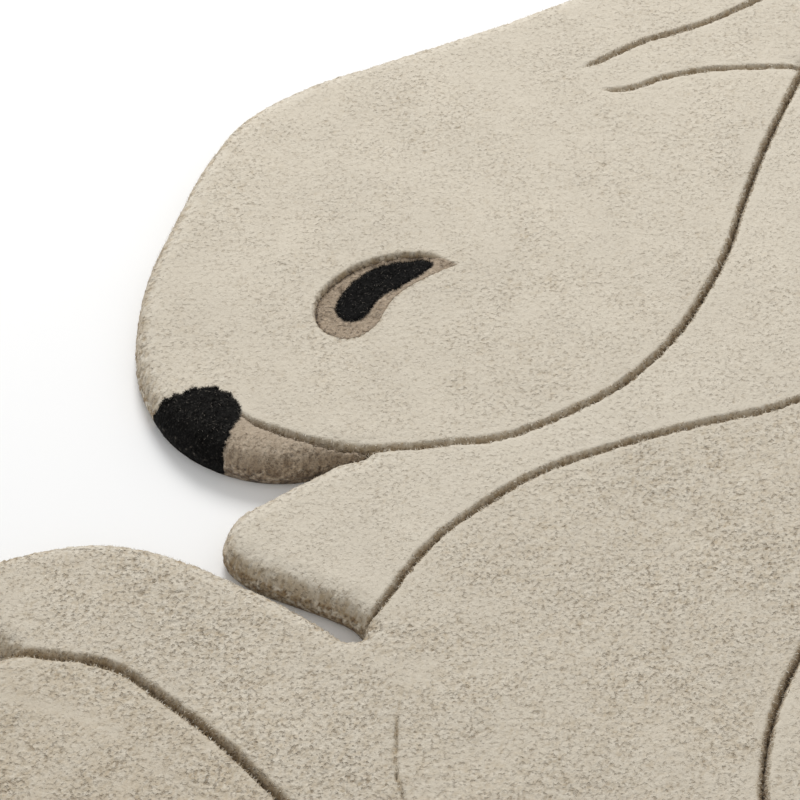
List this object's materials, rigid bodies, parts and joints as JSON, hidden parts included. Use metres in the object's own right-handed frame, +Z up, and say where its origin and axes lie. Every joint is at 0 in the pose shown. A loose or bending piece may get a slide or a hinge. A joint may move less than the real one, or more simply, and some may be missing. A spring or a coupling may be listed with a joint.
{
  "type": "rabbit shaped kids rug",
  "caption": "Hand-tufted wool floor rug in the outline of a resting rabbit, with carved grooves in the pile and a flat canvas underside",
  "frame": {"origin": "centre of the bounding box, on the flat underside", "axes": "+Z up through the pile, +X towards the rabbit's tail, +Y towards its ears"},
  "size_m": [0.9746, 0.8926, 0.021],
  "materials": {
    "cream_pile": "dense cut wool pile, matte, sheared level and carved",
    "taupe_pile": "the same cut pile in taupe, on the jaw and round the eye",
    "black_pile": "the same cut pile in black, on the nose and pupil",
    "backing_canvas": "plain woven cotton canvas underside"
  },
  "bodies": {
    "root": {"rug": "cream_pile"}
  },
  "joints": []
}
